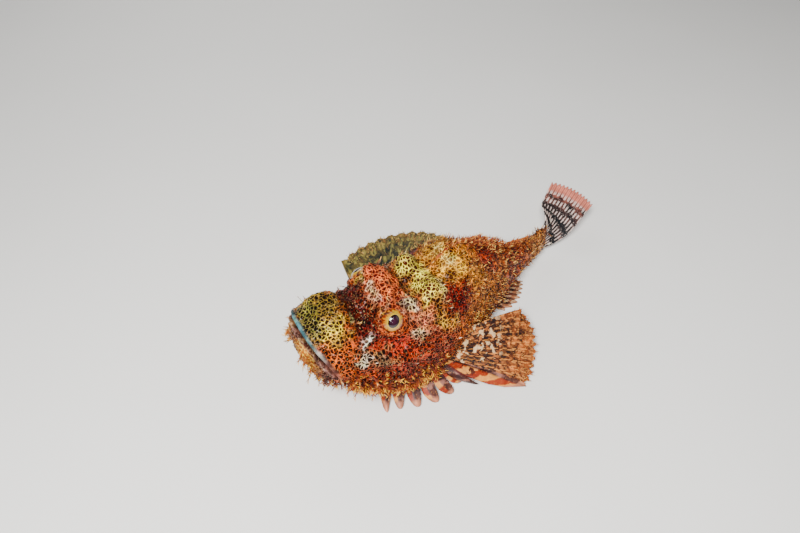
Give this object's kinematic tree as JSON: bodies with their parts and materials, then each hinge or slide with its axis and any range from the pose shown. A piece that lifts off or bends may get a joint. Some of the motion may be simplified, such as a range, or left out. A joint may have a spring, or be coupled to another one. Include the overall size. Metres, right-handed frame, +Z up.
{
  "type": "papuan scorpionfish",
  "caption": "Life-size still model of a Papuan scorpionfish resting on its belly, fins spread, tail curved aside, with skin flaps, head spines and mottled orange skin",
  "frame": {"origin": "bottom centre of the whole fish's box, on the plane that it rests on", "axes": "+Z up, the fish faces -X and its left side is -Y"},
  "size_m": [0.2088, 0.115, 0.0636],
  "materials": {
    "skin": "moist mottled skin, orange, red-brown and cream in a pale net, soft gloss",
    "eye": "clear wet eye, yellow iris and dark purple-brown pupil, high gloss",
    "fin": "thin moist membrane over raised rays, banded cream, orange and brown"
  },
  "bodies": {
    "root": {"head": "skin", "lower_jaw": "skin", "trunk": "skin", "tail_stalk": "skin", "eye_left": "eye", "eye_right": "eye", "dorsal_fin_spines": "fin", "dorsal_fin_soft": "fin", "anal_fin": "fin", "caudal_fin": "fin", "pectoral_fin_left": "fin", "pectoral_fin_right": "fin", "pelvic_fin_left": "fin", "pelvic_fin_right": "fin"}
  },
  "joints": []
}
